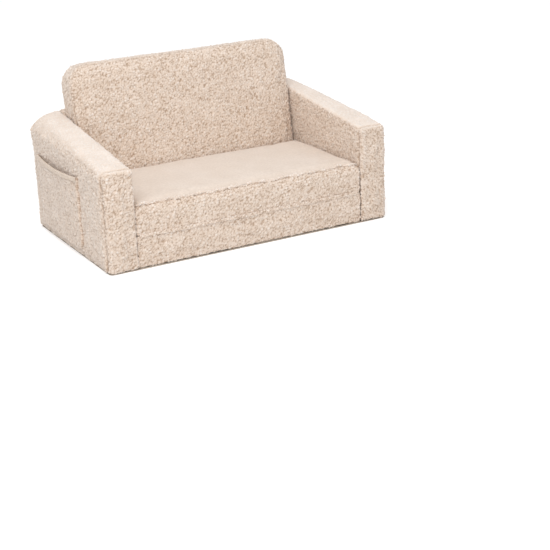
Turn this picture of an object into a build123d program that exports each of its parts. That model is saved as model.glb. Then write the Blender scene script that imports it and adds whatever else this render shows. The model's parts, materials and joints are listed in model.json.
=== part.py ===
from build123d import *
import math
import os

# Child's flip-open sofa: a U-shaped foam shell and a mattress of three panels.
# Closed, the base panel lies in the shell, the seat panel lies on it and the backrest stands behind.
# Open, the seat flips forward onto the floor and the backrest lies down in front of it.
# The front faces -Y and the part rests on Z = 0, with X and Y centred on its own box.

# Shell
shell_width = 820.0
shell_depth = 505.0
arm_width = 82.0
arm_front_height = 262.0
arm_rear_height = 324.0
rear_round_share = 0.6165
arm_front_round = 10.0
arm_outer_round = 16.0
arm_inner_round = 9.0
front_panel_wrap = 13.0
wall_round_share = 0.308

# Cloth and clearances
cover_cloth = 3.0
base_cloth_thickness = 2.0
base_cloth_inset = 4.0
base_cloth_round = 12.0
core_gap = 0.4
joint_gap = 0.6
side_gap = 1.5
lean_gap = 0.6

# Mattress panels
panel_thickness = 86.0
seat_depth_share = 66 / 101
backrest_length = 358.0
backrest_lean = 9.6
seat_setback = 4.0
seam_drop = 15.0
hinge_edge_round = 8.0
floor_edge_round = 4.0
seat_front_round = 32.0
seat_top_round = 18.0
seat_crown_across = 4.0
seat_crown_along = 5.0
base_crown_across = 1.2
front_draw_in = 2.5
backrest_corner_round = 56.0
backrest_rim_round = 18.0
backrest_crown_across = 6.0
backrest_crown_along = 5.0
backrest_rear_crown = 1.5
backrest_draw_in = 3.0
backrest_foot_round = 13.0
pivot_share = 0.46
seam_roll_clearance = 0.35

# Pocket on the outside of the left arm
pocket_gap = 6.0
pocket_cloth = 2.5
pocket_front = 157.0
pocket_length = 285.0
pocket_foot = 22.0
pocket_height = 196.0
pocket_corner = 26.0
pocket_edge_round = 2.0
pocket_sag = 5.0
binding_width = 9.0
binding_wrap = 1.2

# Zip low on the back of the shell
zip_share = 32 / 41
zip_height = 46.0
zip_tape_width = 24.0
zip_tape_thickness = 1.0
zip_chain_width = 3.2
zip_chain_depth = 2.0
zip_clearance = 0.35
zip_stop_length = 4.0
zip_stop_width = 6.0
slider_length = 12.0
slider_width = 9.0
slider_roof = 1.2
bail_bar_radius = 0.9
bail_post = 1.4
bail_lift = 0.4
pull_length = 24.0
pull_thickness = 1.0
pull_tip_round = 2.0

# Overrun for tools that cut right through
overrun = 20.0

# Where the box of the whole part puts the shell
pocket_proud = pocket_gap + pocket_cloth + binding_wrap
eye_radius = bail_bar_radius + zip_clearance + pull_thickness
chain_top = zip_tape_thickness + zip_chain_depth
slider_top = chain_top + zip_clearance + slider_roof
bail_rise = slider_top + bail_lift + eye_radius
zip_proud = bail_rise + eye_radius
shell_left = pocket_proud - (shell_width + pocket_proud) / 2
shell_right = shell_left + shell_width
shell_mid = (shell_left + shell_right) / 2
front_y = -(shell_depth + zip_proud) / 2
rear_y = front_y + shell_depth
left_inner = shell_left + arm_width
right_inner = shell_right - arm_width
shell_foot = base_cloth_thickness
seat_length = seat_depth_share * shell_depth
zip_length = zip_share * shell_width

# Fold axes
seat_front_y = front_y + seat_setback
hinge_y = seat_front_y - joint_gap / 2
hinge_z = panel_thickness + joint_gap / 2
pivot_radius = pivot_share * panel_thickness
pivot_y = seat_front_y + seat_length + joint_gap + pivot_radius
pivot_z = 2 * hinge_z - pivot_radius
lean = math.radians(backrest_lean)
rear_face_reach = panel_thickness - pivot_radius

# Back wall's leaning face, parallel to the backrest's rear face
wall_reach = rear_face_reach + lean_gap


def wall_face_y(z):
    """Place of the back wall's leaning face at a height."""
    return pivot_y + (wall_reach + (z - pivot_z) * math.sin(lean)) / math.cos(lean)


def arm_top_z(y):
    """Height of the sloping top line of the arms."""
    return arm_front_height + (arm_rear_height - arm_front_height) * (y - front_y) / shell_depth


wall_foot_y = wall_face_y(panel_thickness)
wall_slope = (arm_rear_height - arm_front_height) / shell_depth
wall_top_y = (wall_face_y(0) + math.tan(lean) * (arm_front_height - wall_slope * front_y)) / (
    1 - math.tan(lean) * wall_slope
)
wall_top_z = arm_top_z(wall_top_y)
wall_split_y = (wall_top_y + rear_y) / 2

# Rounds along the top of the back wall, the rear one carried on over the arms
shell_rear_round = rear_round_share * (rear_y - wall_top_y)
wall_inner_round = wall_round_share * (rear_y - wall_top_y)

# Panels between the arms
panel_width = right_inner - left_inner - 2 * side_gap
base_panel_length = wall_foot_y - side_gap - seat_front_y
base_panel_thickness = panel_thickness - base_cloth_thickness


def side_prism(corners, radii, inset, x_from, x_to):
    """Prism along X from an outline in Y and Z, its corners rounded, then drawn in all round."""
    outline = make_face(Polyline(*corners, close=True))
    for corner, radius in zip(corners, radii):
        if radius:
            vertex = outline.vertices().sort_by_distance((corner[0], corner[1], 0))[0]
            outline = fillet(vertex, radius)
    if inset:
        outline = offset(outline, -inset, kind=Kind.INTERSECTION)
    face = Plane.YZ.offset(x_from + inset) * outline
    return extrude(face, x_to - x_from - 2 * inset)


def halves(body, plane):
    """The two sides of a body, in front of the plane and behind it."""
    return split(body, bisect_by=plane, keep=Keep.TOP), split(body, bisect_by=plane, keep=Keep.BOTTOM)


def arm_body(x_from, x_to, outer_sign, inset):
    """One arm as a rounded block, or its smaller copy inside the cloth."""
    corners = (
        (front_y, shell_foot),
        (rear_y, shell_foot),
        (rear_y, arm_rear_height),
        (front_y, arm_front_height),
    )
    body = side_prism(corners, (0, 0, shell_rear_round, arm_front_round), inset, x_from, x_to)
    by_x = body.faces().sort_by(Axis.X)
    outer_face, inner_face = (by_x[0], by_x[-1]) if outer_sign < 0 else (by_x[-1], by_x[0])
    raised = shell_foot + inset
    outer_edges = [edge for edge in outer_face.edges() if edge.center().Z > raised + arm_outer_round]
    body = fillet(outer_edges, arm_outer_round - inset)
    inner_edges = [
        edge
        for edge in inner_face.edges()
        if edge.center().Z > raised + arm_inner_round and edge.center().Y < rear_y - shell_rear_round
    ]
    return fillet(inner_edges, arm_inner_round - inset)


def arm_pieces(name, x_from, x_to, outer_sign):
    """Foam core, sleeve and front panel of one arm."""
    shell = arm_body(x_from, x_to, outer_sign, 0) - arm_body(x_from, x_to, outer_sign, cover_cloth)
    seam = Plane(origin=(0, front_y + front_panel_wrap, 0), z_dir=(0, 1, 0))
    sleeve, front = halves(shell, seam)
    return {
        name + "_arm_foam": arm_body(x_from, x_to, outer_sign, cover_cloth + core_gap),
        name + "_arm_sleeve": sleeve,
        name + "_arm_front_panel": front,
    }


def wall_body(inset):
    """Back wall between the arms: upright at the foot, then leaning with the backrest."""
    corners = (
        (wall_foot_y, shell_foot),
        (rear_y, shell_foot),
        (rear_y, arm_rear_height),
        (wall_top_y, wall_top_z),
        (wall_foot_y, panel_thickness),
    )
    radii = (0, 0, shell_rear_round, wall_inner_round, 0)
    return side_prism(corners, radii, inset, left_inner, right_inner)


def wall_pieces():
    """Foam wedge with its front and rear cloth."""
    shell = wall_body(0) - wall_body(cover_cloth)
    seam = Plane(origin=(0, wall_split_y, 0), z_dir=(0, 1, 0))
    rear, front = halves(shell, seam)
    return {
        "back_wall_foam": wall_body(cover_cloth + core_gap),
        "back_wall_front_cloth": front,
        "back_wall_rear_cloth": rear,
    }


def base_cloth():
    """Non-slip cloth under the whole shell."""
    width = shell_width - 2 * base_cloth_inset
    depth = shell_depth - 2 * base_cloth_inset
    sheet = RectangleRounded(width, depth, base_cloth_round)
    middle = Location((shell_mid, (front_y + rear_y) / 2, 0))
    return {"base_cloth": extrude(middle * sheet, base_cloth_thickness)}


def dome(width, length, peak, across, along):
    """Body under a gently domed surface that peaks over the middle of a panel."""
    half_x, half_y = width / 2 + overrun, length / 2 + overrun
    fall_x = across * (2 * half_x / width) ** 2
    fall_y = along * (2 * half_y / length) ** 2
    bend_share = (-1, 1, -1)
    mid_y = length / 2
    steps = tuple(zip((-1, 0, 1), bend_share))
    grid = [
        [(half_x * x, mid_y + half_y * y, peak + fall_x * bend_x + fall_y * bend_y) for y, bend_y in steps]
        for x, bend_x in steps
    ]
    return extrude(Face.make_bezier_surface(grid), peak + 2 * overrun, dir=(0, 0, -1))


def panel_outline(width, length, near_draw, side_draw, far_draw, far_round):
    """Plan of a panel, its free sides drawn in between the corners."""
    half = width / 2
    corners = ((-half, 0), (half, 0), (half, length), (-half, length))
    drawn = half - side_draw
    middles = ((0, near_draw), (drawn, length / 2), (0, length - far_draw), (-drawn, length / 2))
    draws = (near_draw, side_draw, far_draw, side_draw)
    sides = []
    for index, draw in enumerate(draws):
        start, end = corners[index], corners[(index + 1) % len(corners)]
        sides.append(Spline(start, middles[index], end) if draw else Line(start, end))
    outline = make_face(Curve() + sides)
    if far_round:
        far_corners = outline.vertices().sort_by(Axis.Y)[-2:]
        outline = fillet(far_corners, far_round)
    return outline


def crowned_block(outline, width, length, thick, upper_crown, under_crown=None):
    """Panel block with a domed upper face, and a domed underside unless it lies on the base cloth."""
    upper = dome(width, length, thick, *upper_crown)
    if under_crown is None:
        return extrude(outline, thick + overrun) & upper
    under = mirror(dome(width, length, thick, *under_crown), about=Plane.XY.offset(thick / 2))
    return Pos(0, 0, -overrun) * extrude(outline, thick + 2 * overrun) & upper & under


def rim_edges(body, upper, y_low, y_high):
    """Edges round the upper or the under face whose middles lie between two places along the panel."""
    middle = (body.bounding_box().min.Z + body.bounding_box().max.Z) / 2
    return [
        edge
        for edge in body.edges()
        if (edge.center().Z > middle) == upper and y_low < edge.center().Y < y_high and not is_upright(edge)
    ]


def is_upright(edge):
    """True for an edge that climbs from the under face to the upper one."""
    span = edge.bounding_box().size
    return span.Z > max(span.X, span.Y)


def base_panel_body(inset):
    """Base panel, lying in the shell with its near end flush with the seat's."""
    width, length = panel_width - 2 * inset, base_panel_length - 2 * inset
    thick = base_panel_thickness - 2 * inset
    outline = panel_outline(width, length, 0, 0, 0, 0)
    body = crowned_block(outline, width, length, thick, (base_crown_across, 0))
    body = fillet(rim_edges(body, True, -overrun, length + overrun), hinge_edge_round - inset)
    body = fillet(rim_edges(body, False, -overrun, length + overrun), floor_edge_round - inset)
    return Pos(0, inset, inset) * body


def seat_body(inset):
    """Seat panel, lying: near end at the front, upper face crowned."""
    width, length = panel_width - 2 * inset, seat_length - 2 * inset
    thick = panel_thickness - 2 * inset
    outline = panel_outline(width, length, front_draw_in, 0, 0, 0)
    crowns = (seat_crown_across, seat_crown_along)
    flats = (base_crown_across, 0)
    body = crowned_block(outline, width, length, thick, crowns, flats)
    body = fillet(rim_edges(body, True, -overrun, overrun), seat_front_round - inset)
    body = fillet(rim_edges(body, True, length / 4, length + overrun), seat_top_round - inset)
    body = fillet(rim_edges(body, False, -overrun, length + overrun), hinge_edge_round - inset)
    return Pos(0, inset, inset) * body


def backrest_body(inset):
    """Backrest, lying on its front face: near end at Y = 0, rounded about the fold axis."""
    width, length = panel_width - 2 * inset, backrest_length - 2 * inset
    thick = panel_thickness - 2 * inset
    draw = backrest_draw_in
    outline = panel_outline(width, length, 0, draw, draw, backrest_corner_round - inset)
    rear = (backrest_rear_crown, backrest_rear_crown)
    front = (backrest_crown_across, backrest_crown_along)
    body = crowned_block(outline, width, length, thick, rear, front)
    body = fillet(rim_edges(body, False, -overrun, overrun), pivot_radius - inset)
    body = fillet(rim_edges(body, True, -overrun, overrun), backrest_foot_round - inset)
    rim = rim_edges(body, False, pivot_radius, length + overrun)
    body = fillet(rim, backrest_rim_round - inset)
    return Pos(0, inset, inset) * body


def panel_pieces(name, body, thick, place, upper, under):
    """Foam core, upper cloth, band and under cloth of one panel, set in its place."""
    shell = body(0) - body(cover_cloth)
    above, rest = halves(shell, Plane.XY.offset(thick - seam_drop))
    band, below = halves(rest, Plane.XY.offset(seam_drop))
    pieces = {
        name + "_foam": body(cover_cloth + core_gap),
        name + "_" + upper: above,
        name + "_band": band,
        name + "_" + under: below,
    }
    return {node: place * piece for node, piece in pieces.items()}


def base_panel():
    """Panel that stays in the shell."""
    place = Location((shell_mid, seat_front_y, base_cloth_thickness))
    thick = base_panel_thickness
    return panel_pieces("base_panel", base_panel_body, thick, place, "top_cloth", "under_cloth")


def seat_panel():
    """Panel that flips forward; the face it lies on when closed is the upper one when open."""
    place = Location((shell_mid, seat_front_y, panel_thickness + joint_gap))
    return panel_pieces("seat_panel", seat_body, panel_thickness, place, "top_cloth", "under_cloth")


def backrest():
    """Panel that stands behind the seat and leans back against the shell."""
    along = Vector(0, math.sin(lean), math.cos(lean))
    out = Vector(0, math.cos(lean), -math.sin(lean))
    corner = Vector(shell_mid, pivot_y, pivot_z) - (along + out) * pivot_radius
    place = Plane(origin=corner, x_dir=(-1, 0, 0), z_dir=out).location
    return panel_pieces("backrest", backrest_body, panel_thickness, place, "rear_cloth", "front_cloth")


def hinge_roll():
    """Rolled seam along the front fold, between the base panel and the seat panel."""
    groove = math.sqrt(2) * (hinge_edge_round + joint_gap / 2) - hinge_edge_round
    length = panel_width - 2 * hinge_edge_round
    lying = Plane(origin=(shell_mid - length / 2, hinge_y, hinge_z), z_dir=(1, 0, 0))
    return {"front_fold_seam": extrude(lying * Circle(groove - seam_roll_clearance), length)}


def pocket_outline(draw, top, open_top):
    """Pocket seen from the side: rounded lower corners and a sagging mouth."""
    y_low = front_y + pocket_front + draw
    y_high = front_y + pocket_front + pocket_length - draw
    low = pocket_foot + draw
    middle = (y_low + y_high) / 2
    if open_top:
        mouth = Line((y_high, top), (y_low, top))
    else:
        mouth = ThreePointArc((y_high, top), (middle, top - pocket_sag), (y_low, top))
    sides = Polyline((y_low, top), (y_low, low), (y_high, low), (y_high, top))
    outline = make_face(sides + mouth)
    lower = outline.vertices().sort_by(Axis.Y)[:2]
    return fillet(lower, pocket_corner - draw)


def mouth_strip(upper, lower):
    """Strip along the sagging mouth, between the pocket's turned-in ends."""
    y_low = front_y + pocket_front + pocket_cloth + core_gap
    y_high = front_y + pocket_front + pocket_length - pocket_cloth - core_gap
    middle = (y_low + y_high) / 2
    return make_face(
        ThreePointArc((y_low, upper), (middle, upper - pocket_sag), (y_high, upper))
        + Line((y_high, upper), (y_high, lower))
        + ThreePointArc((y_high, lower), (middle, lower - pocket_sag), (y_low, lower))
        + Line((y_low, lower), (y_low, upper))
    )


def pocket():
    """Flat pocket, its edges turned in to the arm, and the binding round its mouth."""
    outer_x = shell_left - pocket_gap - pocket_cloth
    mouth = pocket_foot + pocket_height
    outside = extrude(Plane.YZ.offset(outer_x) * pocket_outline(0, mouth, False), pocket_gap + pocket_cloth)
    face = outside.faces().sort_by(Axis.X)[0]
    edges = [edge for edge in face.edges() if edge.center().Z < mouth - pocket_sag]
    outside = fillet(edges, pocket_edge_round)
    room = pocket_outline(pocket_cloth, mouth + overrun, True)
    panel = outside - extrude(Plane.YZ.offset(shell_left - pocket_gap) * room, pocket_gap)
    around = mouth_strip(mouth + binding_wrap, mouth - binding_width)
    cloth = mouth_strip(mouth, mouth - binding_width - overrun)
    binding = extrude(Plane.YZ.offset(outer_x - binding_wrap) * around, pocket_cloth + 2 * binding_wrap)
    binding = binding - extrude(Plane.YZ.offset(outer_x) * cloth, pocket_cloth)
    return {"pocket_panel": panel, "pocket_binding": binding}


def rear_block(x_low, x_high, out_low, out_high, height, shift):
    """Block behind the shell, given by its reach along X, out from the rear face, and its height."""
    middle = ((x_low + x_high) / 2, rear_y + (out_low + out_high) / 2, zip_height + shift)
    return Pos(*middle) * Box(x_high - x_low, out_high - out_low, height)


def zip_pieces():
    """Zip of the removable cover: tape, chain, end stops, slider and pull."""
    left = shell_mid - zip_length / 2
    right = shell_mid + zip_length / 2
    tape = rear_block(left, right, 0, zip_tape_thickness, zip_tape_width, 0)
    chain = rear_block(
        left + zip_stop_length, right - zip_stop_length, zip_tape_thickness, chain_top, zip_chain_width, 0
    )
    stops = [
        rear_block(x, x + zip_stop_length, zip_tape_thickness, chain_top, zip_stop_width, 0)
        for x in (left, right - zip_stop_length)
    ]
    start = left + zip_stop_length + zip_clearance
    end = start + slider_length
    slider = rear_block(start, end, zip_tape_thickness + zip_clearance, slider_top, slider_width, 0)
    groove_width = zip_chain_width + 2 * zip_clearance
    groove = rear_block(start - overrun, end + overrun, 0, chain_top + zip_clearance, groove_width, 0)
    slider = slider - groove
    bar_x = (start + end) / 2
    post_shift = (slider_width - bail_post) / 2
    post_left, post_right = bar_x - bail_bar_radius, bar_x + bail_bar_radius
    post_top = bail_rise + bail_bar_radius
    for shift in (-post_shift, post_shift):
        slider = slider + rear_block(post_left, post_right, slider_top, post_top, bail_post, shift)
    bar_plane = Plane(origin=(bar_x, rear_y + bail_rise, zip_height - slider_width / 2))
    slider = slider + extrude(bar_plane * Circle(bail_bar_radius), slider_width)
    pull_width = slider_width - 2 * (bail_post + zip_clearance)
    eye_plane = Plane(origin=(bar_x, rear_y + bail_rise, zip_height - pull_width / 2))
    plate_low, plate_high = bail_rise - pull_thickness / 2, bail_rise + pull_thickness / 2
    plate = rear_block(bar_x, bar_x + pull_length, plate_low, plate_high, pull_width, 0)
    tip = plate.edges().filter_by(Axis.Y).sort_by(Axis.X)[-2:]
    plate = fillet(tip, pull_tip_round)
    pull = plate + extrude(eye_plane * Circle(eye_radius), pull_width)
    pull = pull - extrude(eye_plane * Circle(bail_bar_radius + zip_clearance), pull_width)
    return {
        "zip_tape": tape,
        "zip_chain": chain,
        "zip_end_stops": Compound(children=stops),
        "zip_slider": slider,
        "zip_pull": pull,
    }


def all_pieces():
    """Every node of the sofa by name."""
    pieces = {}
    pieces.update(base_cloth())
    pieces.update(arm_pieces("left", shell_left, left_inner, -1))
    pieces.update(arm_pieces("right", right_inner, shell_right, 1))
    pieces.update(wall_pieces())
    pieces.update(base_panel())
    pieces.update(seat_panel())
    pieces.update(backrest())
    pieces.update(hinge_roll())
    pieces.update(pocket())
    pieces.update(zip_pieces())
    return pieces


os.makedirs("parts", exist_ok=True)
for node, piece in all_pieces().items():
    export_step(piece, "parts/" + node + ".step")
print("front face Y", round(front_y, 3), "rear face Y", round(rear_y, 3), "middle X", round(shell_mid, 3))
print("front fold at Y", round(hinge_y, 3), "Z", round(hinge_z, 3))
print("backrest fold at Y", round(pivot_y, 3), "Z", round(pivot_z, 3))
zip_start = shell_mid - zip_length / 2 + zip_stop_length + zip_clearance
print("zip pull turns at X", round(zip_start + slider_length / 2, 3))
print("zip pull turns at Y", round(rear_y + bail_rise, 3), "Z", round(zip_height, 3))
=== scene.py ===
# %% [markdown]
# # A child's flip-open sofa in curly sherpa cloth
# The sofa is a U of foam blocks with a three-part mattress folded up inside it. Every visible
# surface is cloth over foam, so this lesson is about soft blocks: how to shape one, puff it up,
# seam it and give it a curly pile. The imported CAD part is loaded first, and each new piece takes
# its place from it.

import json
import math

import bmesh
import bpy
import numpy as np
from mathutils import Matrix, Vector


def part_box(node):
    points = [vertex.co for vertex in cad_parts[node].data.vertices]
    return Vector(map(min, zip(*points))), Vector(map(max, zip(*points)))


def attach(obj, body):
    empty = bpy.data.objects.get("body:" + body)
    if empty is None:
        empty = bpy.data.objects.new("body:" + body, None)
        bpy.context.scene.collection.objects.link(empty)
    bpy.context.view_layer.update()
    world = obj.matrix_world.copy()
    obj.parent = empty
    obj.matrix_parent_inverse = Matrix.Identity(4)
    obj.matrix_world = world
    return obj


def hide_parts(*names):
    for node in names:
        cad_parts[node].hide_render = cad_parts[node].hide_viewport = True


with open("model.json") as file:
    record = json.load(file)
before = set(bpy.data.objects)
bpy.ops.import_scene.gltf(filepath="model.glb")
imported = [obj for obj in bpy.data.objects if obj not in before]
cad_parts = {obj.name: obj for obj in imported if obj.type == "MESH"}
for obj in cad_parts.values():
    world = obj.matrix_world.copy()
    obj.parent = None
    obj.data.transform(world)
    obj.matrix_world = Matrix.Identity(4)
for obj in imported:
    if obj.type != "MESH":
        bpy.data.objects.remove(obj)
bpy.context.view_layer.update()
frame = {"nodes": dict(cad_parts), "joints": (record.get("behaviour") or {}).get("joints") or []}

# %% [markdown]
# ## Places taken from the CAD part
# A soft piece has to sit where its solid sits, so the main places are read from the boxes of the
# CAD nodes. Only what a box can't tell is a number here: the slope of the arms, the gap beside the
# panels and the backrest's lean.

# %% Read the main places
MM = 0.001
sleeve_low, sleeve_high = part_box("left_arm_sleeve")
front_low, front_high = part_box("left_arm_front_panel")
right_low, right_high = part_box("right_arm_sleeve")
base_low, base_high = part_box("base_panel_band")

front_y, arm_seam_y = front_low.y, front_high.y
rear_y = sleeve_high.y
foot_z = sleeve_low.z
left_outer, left_inner = sleeve_low.x, sleeve_high.x
right_inner, right_outer = right_low.x, right_high.x
sofa_mid = (left_outer + right_outer) / 2
arm_front_height = 262 * MM
arm_rear_height = 324 * MM
panel_gap = 1.5 * MM
panel_width = right_inner - left_inner - 2 * panel_gap
panel_thick = 86 * MM
lean = math.radians(9.6)
print("arms", round(left_outer, 4), round(right_outer, 4), "panels", round(panel_width, 4))

# %% [markdown]
# ## Small hands-on helpers
# Blender's operators act on whatever is selected. So one helper makes a single piece the only
# selected one, and another picks vertices, edges or faces by their place, as with the mouse.

# %% Helpers that select
def select_nothing():
    """Deselects every object."""
    bpy.ops.object.select_all(action="DESELECT")


def only(piece):
    """Makes one piece the only selected and active object."""
    if bpy.context.mode != "OBJECT":
        bpy.ops.object.mode_set(mode="OBJECT")
    select_nothing()
    piece.select_set(True)
    bpy.context.view_layer.objects.active = piece


def pick(piece, part, test=lambda middle, along: True):
    """Opens edit mode with the vertices, edges or faces whose middle and direction pass a test."""
    only(piece)
    bpy.ops.object.mode_set(mode="EDIT")
    bpy.ops.mesh.select_mode(type={"verts": "VERT", "edges": "EDGE", "faces": "FACE"}[part])
    bpy.ops.mesh.select_all(action="DESELECT")
    shape = bmesh.from_edit_mesh(piece.data)
    for element in getattr(shape, part):
        if part == "verts":
            middle, along = element.co, element.normal
        elif part == "edges":
            middle = (element.verts[0].co + element.verts[1].co) / 2
            along = element.verts[1].co - element.verts[0].co
        else:
            middle, along = element.calc_center_median(), element.normal
        element.select = bool(test(middle, along))
    shape.select_flush_mode()
    bmesh.update_edit_mesh(piece.data)


def done():
    """Leaves edit mode."""
    bpy.ops.object.mode_set(mode="OBJECT")


def near(a, b, reach=0.4 * MM):
    """True where two lengths agree within a reach."""
    return abs(a - b) < reach


def mostly(vector, axis, share=0.7):
    """True where a vector runs along an axis, given as 0, 1 or 2."""
    return abs(vector[axis]) > share * vector.length


print("helpers ready")


# %% Helpers that add and shape
def add_block(name, low, high):
    """A cube primitive stretched between two corners, with its place in its mesh."""
    low, high = Vector(low), Vector(high)
    select_nothing()
    bpy.ops.mesh.primitive_cube_add(size=1, location=(low + high) / 2)
    block = bpy.context.object
    block.name = name
    block.data.name = name
    block.scale = high - low
    bpy.ops.object.transform_apply(location=True, rotation=True, scale=True)
    return block


def add_rod(name, radius, length, middle, vertices, turn):
    """A cylinder primitive with its place in its mesh."""
    select_nothing()
    bpy.ops.mesh.primitive_cylinder_add(
        vertices=vertices, radius=radius, depth=length, location=middle, rotation=turn
    )
    rod = bpy.context.object
    rod.name = name
    bpy.ops.object.transform_apply(location=True, rotation=True, scale=True)
    return rod


def add_grid(name, columns, rows):
    """A flat grid from -1 to 1 both ways, to be bent afterwards."""
    select_nothing()
    bpy.ops.mesh.primitive_grid_add(
        x_subdivisions=columns, y_subdivisions=rows, size=2, location=(0, 0, 0)
    )
    grid = bpy.context.object
    grid.name = name
    return grid


def round_edges(piece, test, radius, segments):
    """Bevels the edges that pass a test."""
    pick(piece, "edges", test)
    bpy.ops.mesh.bevel(offset=radius, segments=segments, affect="EDGES", clamp_overlap=False)
    done()


def turn_inside_out(piece):
    """Flips all faces of a piece."""
    pick(piece, "faces")
    bpy.ops.mesh.flip_normals()
    done()


def apply(piece, kind, **settings):
    """Adds one modifier, sets it and applies it."""
    only(piece)
    modifier = piece.modifiers.new(kind.lower(), kind)
    for key, value in settings.items():
        setattr(modifier, key, value)
    bpy.ops.object.modifier_apply(modifier=modifier.name)


def smooth_once(piece):
    """One level of subdivision."""
    apply(piece, "SUBSURF", levels=1, render_levels=1)


def repeat(piece, count, step):
    """Copies a small piece in a row, one step apart."""
    apply(
        piece, "ARRAY", count=count, use_relative_offset=False, use_constant_offset=True,
        constant_offset_displace=step,
    )


print("helpers ready")


# %% Helpers for whole meshes as arrays
def points(piece):
    """The vertex places of a piece as an array."""
    co = np.empty(len(piece.data.vertices) * 3, np.float32)
    piece.data.vertices.foreach_get("co", co)
    return co.reshape(-1, 3).astype(float)


def normals(piece):
    """The vertex normals of a piece as an array."""
    no = np.empty(len(piece.data.vertices) * 3, np.float32)
    piece.data.vertex_normals.foreach_get("vector", no)
    return no.reshape(-1, 3).astype(float)


def move_points(piece, co):
    """Writes vertex places back."""
    piece.data.vertices.foreach_set("co", co.astype(np.float32).ravel())
    piece.data.update()


def fade(value, reach):
    """Rises evenly from 0 to 1 while a value goes from 0 to the reach, and stays there."""
    return np.clip(value / reach, 0, 1)


print("helpers ready")

# %% [markdown]
# ## From a stiff block to a padded one
# Foam under a sewn cover looks full: its faces crown a little and its edges are soft. We remesh the
# block into small even faces and let a cloth simulation with inner pressure push them out, up to a
# cap. Moving the faces along their normals would be quicker, but pressure leaves the corners tight.

# %% Remesh and puff
def remesh(piece, voxel=5 * MM):
    """Gives a piece small even faces."""
    only(piece)
    piece.data.remesh_voxel_size = voxel
    bpy.ops.object.voxel_remesh()


def puff(piece, cap, draw=1.2 * MM, pressure=4.0, frames=20):
    """Inflates a piece like a sewn cover. No point moves out past the cap, or in past the draw."""
    scene = bpy.context.scene
    start, out_way = points(piece), normals(piece)
    cloth = piece.modifiers.new("cover", "CLOTH")
    cloth.settings.use_pressure = True
    cloth.settings.uniform_pressure_force = pressure
    cloth.settings.effector_weights.gravity = 0
    cloth.settings.quality = 4
    cloth.point_cache.frame_start = 1
    cloth.point_cache.frame_end = frames
    for step in range(1, frames + 1):
        scene.frame_set(step)
    seen = piece.evaluated_get(bpy.context.evaluated_depsgraph_get())
    puffed = np.empty(len(start) * 3, np.float32)
    seen.data.vertices.foreach_get("co", puffed)
    move = puffed.reshape(-1, 3) - start
    length = np.linalg.norm(move, axis=1, keepdims=True)
    share = np.minimum(1, cap / np.maximum(length, 1e-9))
    piece.modifiers.remove(cloth)
    scene.frame_set(1)
    move = move * share
    outward = (move * out_way).sum(axis=1)
    move -= out_way * np.minimum(outward + draw, 0)[:, None]
    move_points(piece, start + move)
    print(piece.name, "puffed by", round(float(outward.max()) * 1000, 1), "mm")


def hold_inside(piece, low, high):
    """Keeps a piece inside a box, so that it stays off its neighbours."""
    move_points(piece, np.clip(points(piece), np.array(low), np.array(high)))


print("helpers ready")

# %% Seams and the rim above the floor
under_low, under_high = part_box("base_cloth")
rim_drop = 1.7 * MM
rim_height = 12 * MM


def lower_rim(piece):
    """Lets the cloth outside the underside reach down to the floor."""
    co = points(piece)
    outside = (co[:, 0] < under_low.x) | (co[:, 0] > under_high.x)
    outside |= (co[:, 1] < under_low.y) | (co[:, 1] > under_high.y)
    co[:, 2] -= rim_drop * (1 - fade(co[:, 2] - foot_z, rim_height)) * outside
    move_points(piece, co)


def seam(piece, axis, place, depth, width):
    """Draws the cover in along a seam across an axis, and returns how near each point is to it."""
    co, no = points(piece), normals(piece)
    closeness = np.exp(-(((co[:, axis] - place) / width) ** 2))
    no[:, axis] = 0
    move_points(piece, co - no * (depth * closeness)[:, None])
    return closeness


print("the cloth outside the underside drops by", round(rim_drop * 1000, 1), "mm")

# %% [markdown]
# ## Curly pile
# Sherpa cloth is a field of small curls, about 7 mm across, with shaded gaps between them. Hair
# would be slow, and it isn't a mesh. Instead a Displace modifier with a cell texture raises the
# curls, a second one breaks them up, and two soft noises add the lie of the cloth. The curls'
# height is kept in an attribute, which the material reads to paint shade into the gaps and light
# onto the tips, so painted shade and shape always agree.

# %% Pile textures
def cell_texture(name, size, first, second):
    """Cells whose borders are low, for curls of one size."""
    texture = bpy.data.textures.new(name, "VORONOI")
    texture.noise_scale = size
    texture.weight_1 = first
    texture.weight_2 = second
    return texture


def cloud_texture(name, size, depth):
    """Soft noise of one size."""
    texture = bpy.data.textures.new(name, "CLOUDS")
    texture.noise_scale = size
    texture.noise_depth = depth
    return texture


curl_cells = cell_texture("curl_cells", 6.6 * MM, -1.0, 1.0)
curl_breaks = cloud_texture("curl_breaks", 4.2 * MM, 2)
pile_patches = cloud_texture("pile_patches", 28 * MM, 1)
cloth_waves = cloud_texture("cloth_waves", 120 * MM, 1)
print("textures", [texture.name for texture in bpy.data.textures])

# %% Depth of each relief
low_and_high = (4, 96)  # percentiles of the bottom and the top of a relief


def relief(texture, depth, samples=800, seed=3):
    """Displace settings that give a texture this depth, its middle level on the surface."""
    places = np.random.default_rng(seed).random((samples, 3))
    seen = [texture.evaluate(Vector(place))[3] for place in places]
    low, high = np.percentile(seen, low_and_high)
    print(texture.name, "runs from", round(float(low), 2), "to", round(float(high), 2))
    return dict(
        texture=texture,
        strength=depth / (high - low),
        mid_level=float(np.mean(seen)),
        texture_coords="LOCAL",
    )


curls = [relief(curl_cells, 2.7 * MM), relief(curl_breaks, 1.0 * MM)]
patches = relief(pile_patches, 1.0 * MM)
waves = relief(cloth_waves, 1.8 * MM)

# %% Raise the pile
full_curl = 0.9  # weight above which a point counts as fully curly
pressed_flat = 0.5  # share of the painted contrast that flattened, lit pile loses
painted_light_pale = 0.9  # how far flattened, lit pile is raised toward the palest colour, as painted light
painted_crease_shade = 0.8  # how far the painted shade in a crease goes to the darkest colour


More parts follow.
